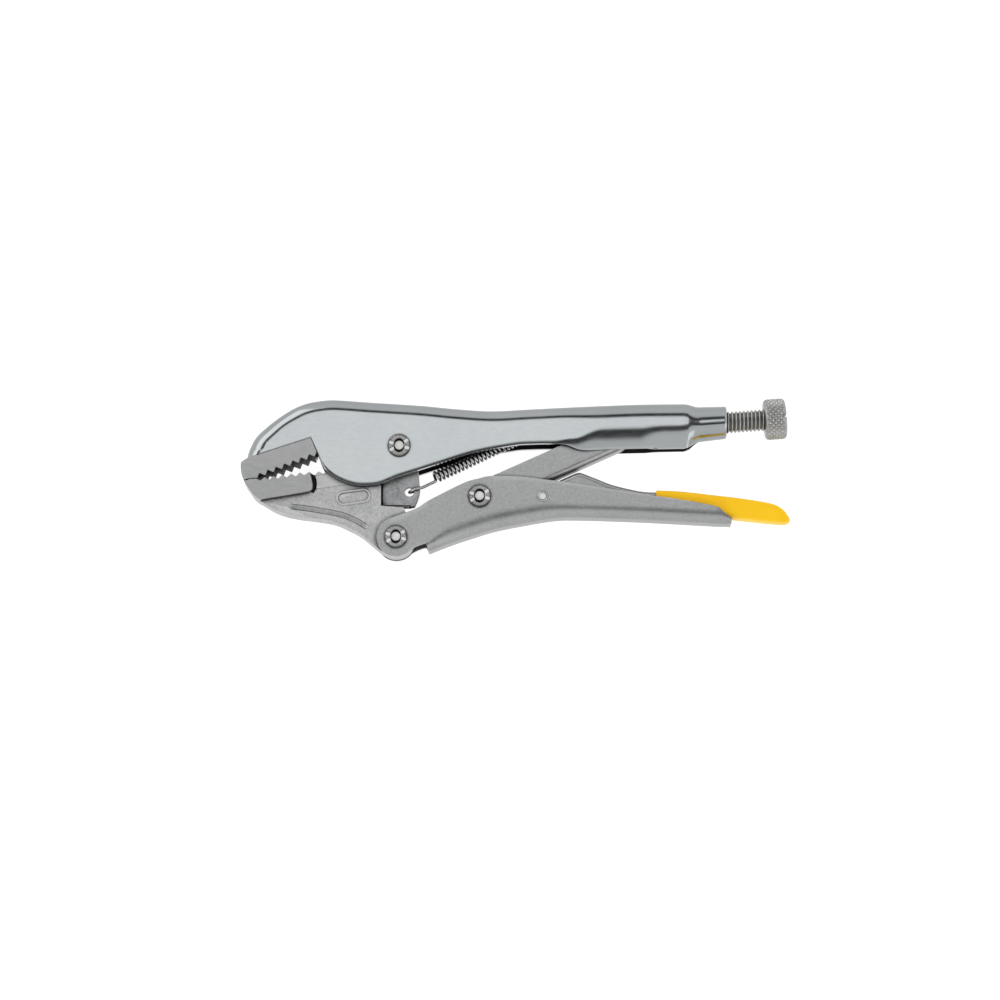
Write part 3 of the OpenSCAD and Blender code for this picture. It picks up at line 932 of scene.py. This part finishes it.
def lever_sleeve():
    """A thick dipped skin with round edges, thinning to a round tip."""
    run = SLEEVE_END - SLEEVE_FROM
    xs = SLEEVE_FROM + run * np.sin(np.linspace(0, math.pi / 2, 90)) ** 1.15
    a = np.linspace(0, 2 * math.pi, 40, endpoint=False)
    y_share = np.sign(np.cos(a)) * np.abs(np.cos(a)) ** CORNER_POWER
    z_share = np.sign(np.sin(a)) * np.abs(np.sin(a)) ** CORNER_POWER
    rings = []
    for x in xs:
        top, low = height(TAIL_TOP, x), height(TAIL_LOW, x)
        front = min(1, round_off(x - SLEEVE_FROM, FRONT_L) + 0.75)
        to_tip = round_off(SLEEVE_END - x, TIP_L)
        half_y = max((top - low) / 2 * front, 0.02)
        half_z = max(SLEEVE_Z * front * (0.25 + 0.75 * to_tip), 0.02)
        rings.append(np.stack([np.full(len(a), x), (top + low) / 2 + half_y * y_share,
                               half_z * z_share], 1))
    sleeve = lofted("lever_sleeve", rings)
    finished(sleeve, VINYL, LEVER, "lever_sleeve", 60)


# ---- adjusting screw ---------------------------------------------------------------
def on_screw(s, r, angle):
    """A point at distance s along the screw axis, from the collar's end face."""
    xy = SCREW_AT + s * SCREW_DIR + r * math.sin(angle) * SCREW_ACROSS
    return (*xy, r * math.cos(angle))


THREAD_R, THREAD_DEPTH, THREAD_PITCH = 4.5, 0.85, 1.6
TIP, THREAD_FROM = -29.4, -24
SHOWN, KNOB_R, KNOB_L = 15.6, 8.45, 8.9
CHAMFER, KNURL_DEPTH, KNURLS, KNURL_PITCH = 1.8, 0.6, 24, 2.2
SLOT_W, SLOT_DEPTH = 1.6, 1.5


def thread_radius(s, angle):
    """A rounded V thread that runs out at the screw's plain tip."""
    t = (s / THREAD_PITCH - angle / (2 * math.pi)) % 1
    rise = min(1, max(0, 1.35 * (1 - abs(2 * t - 1)) - 0.12))
    fade = float(ease(s, THREAD_FROM, THREAD_FROM + 4))
    return THREAD_R - THREAD_DEPTH + THREAD_DEPTH * rise * fade


def screw_shank():
    """The threaded rod, with a blunt plain tip."""
    angles = np.linspace(0, 2 * math.pi, 48, endpoint=False)
    tip = ((TIP, 0.05), (TIP, 2.0), (TIP + 0.8, 3.2))
    rings = [[on_screw(s, r, a) for a in angles] for s, r in tip]
    rings += [[on_screw(s, thread_radius(s, a), a) for a in angles]
              for s in np.arange(TIP + 1.6, SHOWN + 0.05, THREAD_PITCH / 10)]
    return lofted("adjusting_screw", rings)


def knurl(s, angle):
    """Height of the diamond knurl, 0 in its grooves to 1 on its points."""
    turn = angle * KNURLS / (2 * math.pi)
    one = (turn + s / KNURL_PITCH) % 1
    two = (turn - s / KNURL_PITCH) % 1
    return min(1, 2.2 * min(one, 1 - one, two, 1 - two))


def slot_cutter():
    """A bar across the head's outer face."""
    far = SHOWN + KNOB_L
    corners = [(s, side * SLOT_W / 2) for s, side in
               ((far - SLOT_DEPTH, -1), (far + 2, -1), (far + 2, 1), (far - SLOT_DEPTH, 1))]
    return lofted("slot_cut", [[(*(SCREW_AT + s * SCREW_DIR + w * SCREW_ACROSS), z)
                                for s, w in corners] for z in (-10, 10)])


def knurled_head():
    """A drum with rounded rims, a diamond knurl and a screwdriver slot."""
    angles = np.linspace(0, 2 * math.pi, KNURLS * 14, endpoint=False)
    cap_r = KNOB_R - CHAMFER - 0.3
    rings = [[on_screw(SHOWN, r, a) for a in angles] for r in (0.05, 3, 5.5, cap_r)]
    for s in np.linspace(0, KNOB_L, 76):
        end = min(s, KNOB_L - s)
        drop = CHAMFER * (1 - round_off(end, CHAMFER))
        cut = KNURL_DEPTH * float(ease(end, 0.5, 1.3))
        rings.append([on_screw(SHOWN + s, KNOB_R - drop - cut * (1 - knurl(s, a)), a)
                      for a in angles])
    rings += [[on_screw(SHOWN + KNOB_L, r, a) for a in angles] for r in (cap_r, 4, 0.05)]
    return combined(lofted("knurled_head", rings), slot_cutter(), "DIFFERENCE")


def adjusting_screw():
    finished(screw_shank(), ZINC, SCREW, "adjusting_screw", 50)
    finished(knurled_head(), ZINC, SCREW, None, 28)


# ---- spring ------------------------------------------------------------------------
COIL_FROM, COIL_TO = np.array([-32.2, 0.5]), np.array([8.8, 19.9])
COIL_R, WIRE_R, TURNS = 2.0, 0.6, 26.5
# The wire from the hook to the coil: along the coil's axis, across it, and off the plane
LEAD = [(-7.2, -1.9, 2.0), (-4.0, -1.75, 1.4), (-1.6, -1.6, 0.7), (-0.9, -1.1, 0.3),
        (-0.75, 0.2, -0.3), (-0.5, 1.3, -0.7), (-0.25, 1.95, -0.5)]


def return_spring():
    """A close coil between a hook in the jaw's tab and an eye on the handle's anchor."""
    length = np.linalg.norm(COIL_TO - COIL_FROM)
    u = (COIL_TO - COIL_FROM) / length
    v = np.array([-u[1], u[0]])

    def place(s, out, z):
        return (*(COIL_FROM + s * u + out * v), z)

    hook = [(*(SPRING_HOLE + 2.6 * (1 + math.cos(t)) * u), 2.4 * math.sin(t))
            for t in np.linspace(math.radians(330), math.radians(90), 26)]
    lead = [place(*point) for point in curve(LEAD, 5)]
    first, wound = math.pi * 1.03, 2 * math.pi * TURNS
    coil = [place(length * (t - first) / wound, -COIL_R * math.cos(t), -COIL_R * math.sin(t))
            for t in np.linspace(first, first + wound, int(22 * TURNS))]
    eye_r = 2.2
    loop = [(*(ANCHOR_HOLE - (0, eye_r) + eye_r * np.array([math.cos(t), math.sin(t)])), 0.0)
            for t in np.linspace(math.radians(190), math.radians(-120), 24)]
    spring = swept("return_spring", hook + lead + coil + loop, WIRE_R, 12)
    finished(spring, DARK_WIRE, None, "return_spring", 60)
    start, end = mm([(*SPRING_HOLE, 0), (-12, 8.5, 0)])
    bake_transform(spring)
    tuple(start)
    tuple(end)


# ---- rivets ------------------------------------------------------------------------
RIVET_R, RIVET_H = 4.7, 1.1
STAKE_R, STAKES = 3.3, np.radians([32, 162, 210, 342])


def by_stake(r, angle):
    """Distance from the nearest of the four stake marks."""
    return min(math.hypot(r * math.cos(angle - a) - STAKE_R, r * math.sin(angle - a))
               for a in STAKES)


def groove_edge(angle):
    """Outer radius of the groove round the boss, which the stakes push inwards."""
    return 2.85 - 0.75 * math.cos(angle) ** 2


def rivet_height(r, angle):
    """Height of a staked rivet head: a boss, a groove, and a low ring with flat marks."""
    ring = RIVET_H - 0.12 * min(r - 3.4, 0.6) ** 2 - 0.2 * max(r - 4.0, 0)
    flat = 1 - float(ease(by_stake(r, angle), 0.85, 1.1))
    ring += flat * (RIVET_H - 0.12 - ring)
    boss = RIVET_H - 0.06 - 0.026 * r ** 2
    inside = boss - 0.6 * float(ease(r, 1.85, 2.15))
    edge = groove_edge(angle)
    return inside + (ring - inside) * float(ease(r, edge - 0.2, edge + 0.1))


def paint_rivet(obj, at):
    """Duller plating round the stakes, and painted shade in black in the groove."""
    def polar(c):
        away = np.array(c[:2]) - at
        return math.hypot(*away), math.atan2(away[1], away[0])

    def on_ring(c, n):
        r, angle = polar(c)
        return 2.3 < r < 4.15 and by_stake(r, angle) > 0.9

    def in_groove(c, n):
        r, angle = polar(c)
        return 2.0 < r < groove_edge(angle)

    painted(obj, ZINC, on_ring)
    # Painted shade: the groove round the boss gets the black
    painted(obj, SHADE_BLACK, in_groove)


def rivet(name, at, half, shank, body):
    """A rivet of this shank radius, with the same staked head on both sides."""
    angles = np.linspace(0, 2 * math.pi, 96, endpoint=False)
    radii = np.concatenate([[0.02], np.linspace(0.3, RIVET_R - 0.05, 40), [RIVET_R]])

    def ring(r, z_of):
        return [(at[0] + r * math.cos(a), at[1] + r * math.sin(a), z_of(r, a)) for a in angles]

    head = [ring(r, lambda r, a: half + rivet_height(r, a)) for r in radii]
    under = [ring(r, lambda r, a: z) for r, z in
             ((RIVET_R, half), (shank, half), (shank, -half), (RIVET_R, -half))]
    mirror = np.array([1, 1, -1])
    rings = head + under + [np.array(points) * mirror for points in reversed(head)]
    obj = finished(lofted(name, rings), BRIGHT, body, name, 35)
    paint_rivet(obj, at)


def lever_pin():
    """A thin pin with two flat-topped domes."""
    angles = np.linspace(0, 2 * math.pi, 48, endpoint=False)
    dome_r, dome_h = 2.3, 0.75
    rise = [(dome_r * t, dome_h * math.sqrt(max(0, 1 - t ** 6)))
            for t in np.sin(np.linspace(0.01, math.pi / 2, 18))]
    rise.append((1.7, 0.0))
    rings = []
    for side, steps in ((1, rise), (-1, rise[::-1])):
        for r, h in steps:
            rings.append([(PIN_AT[0] + r * math.cos(a), PIN_AT[1] + r * math.sin(a),
                           side * (LOWER_Z + h)) for a in angles])
    finished(lofted("lever_pivot_pin", rings), BRIGHT, LOWER,
             "lever_pivot_pin", 50)


# ---- stage -------------------------------------------------------------------------
# As far past straight up as the camera is short of it: there the flat faces mirror the sky
CEILING_TILT = math.radians(9.5)
# The world's grey at each cosine from the ceiling's middle: walls, a dark gap, the ceiling
WORLD_STOPS = [(0.0, 0.52), (0.60, 0.57), (0.84, 0.54), (0.885, 0.05), (0.968, 0.04),
               (0.984, 0.82), (1.0, 0.92)]
WORLD_STRENGTH, FLOOR_GLOW = 1.85, 0.95


def floor():
    """A pale floor with a glow of its own, which the metal's reflections leave out."""
    mat, tree, bsdf = node_tree("pale_floor")
    tree.links.new(ramp(tree, noise(tree, 3), 0.24, 0.26), bsdf.inputs["Base Color"])
    bsdf.inputs["Roughness"].default_value = 0.7
    bsdf.inputs["Emission Color"].default_value = (1, 1, 1, 1)
    bsdf.inputs["Emission Strength"].default_value = FLOOR_GLOW
    size = 3.0
    mesh = bpy.data.meshes.new("floor")
    mesh.from_pydata([(-size, -size, 0), (size, -size, 0), (size, size, 0), (-size, size, 0)],
                     [], [(0, 1, 2, 3)])
    mesh.materials.append(mat)
    obj = bpy.data.objects.new("floor", mesh)
    bpy.context.scene.collection.objects.link(obj)
    obj.visible_glossy = False


def studio_world():
    """A white ceiling seen in the flat faces, a dark gap round it, and grey walls beyond."""
    world = bpy.data.worlds.new("studio")
    bpy.context.scene.world = world
    world.use_nodes = True
    tree = world.node_tree
    where = tree.nodes.new("ShaderNodeTexCoord")
    toward = tree.nodes.new("ShaderNodeVectorMath")
    toward.operation = "DOT_PRODUCT"
    toward.inputs[1].default_value = (0, math.sin(CEILING_TILT), math.cos(CEILING_TILT))
    tree.links.new(where.outputs["Generated"], toward.inputs[0])
    colours = tree.nodes.new("ShaderNodeValToRGB")
    elements = colours.color_ramp.elements
    for place, grey in WORLD_STOPS[1:-1]:
        elements.new(place)
    for element, (place, grey) in zip(elements, WORLD_STOPS):
        element.position = place
        element.color = (grey, grey, grey, 1)
    tree.links.new(toward.outputs["Value"], colours.inputs["Fac"])
    back = tree.nodes["Background"]
    tree.links.new(colours.outputs["Color"], back.inputs["Color"])
    back.inputs["Strength"].default_value = WORLD_STRENGTH


def softbox(name, place, size, power):
    """A rectangular light that faces the origin."""
    light = bpy.data.lights.new(name, "AREA")
    light.shape = "RECTANGLE"
    light.size, light.size_y = size
    light.energy = power
    obj = bpy.data.objects.new(name, light)
    bpy.context.scene.collection.objects.link(obj)
    obj.location = place
    obj.rotation_euler = (-Vector(place)).to_track_quat("-Z", "Y").to_euler()


def camera():
    """A long lens, 80.5 degrees above the floor, on the lower handle's side."""
    elevation, distance, frame_width = math.radians(80.5), 1.6, 0.40835
    target = Vector((-0.0063, -0.0091, LIFT / 1000))
    cam = bpy.data.cameras.new("camera")
    cam.sensor_width = 36
    cam.lens = 36 * distance / frame_width
    obj = bpy.data.objects.new("camera", cam)
    bpy.context.scene.collection.objects.link(obj)
    way = Vector((0, -math.cos(elevation), math.sin(elevation)))
    obj.location = target + way * distance
    obj.rotation_euler = (-way).to_track_quat("-Z", "Y").to_euler()
    bpy.context.scene.camera = obj
    bpy.context.scene.view_settings.view_transform = "Standard"


camera()
studio_world()
softbox("key", (-1.3, 1.2, 1.3), (1.9, 1.6), 9)
softbox("fill", (1.5, -0.9, 1.0), (1.2, 1.0), 3)
floor()

upper_handle()
spring_anchor()
upper_jaw()
lower_jaw()
lower_handle()
toggle_link()
release_lever()
lever_sleeve()
adjusting_screw()
return_spring()
rivet("main_pivot_rivet", MAIN_AT, UPPER_Z, 3.6, UPPER)
rivet("jaw_pivot_rivet", JAW_AT, LOWER_Z, 3.3, LOWER)
rivet("link_pivot_rivet", LINK_AT, LOWER_Z, 3.1, LOWER)
lever_pin()
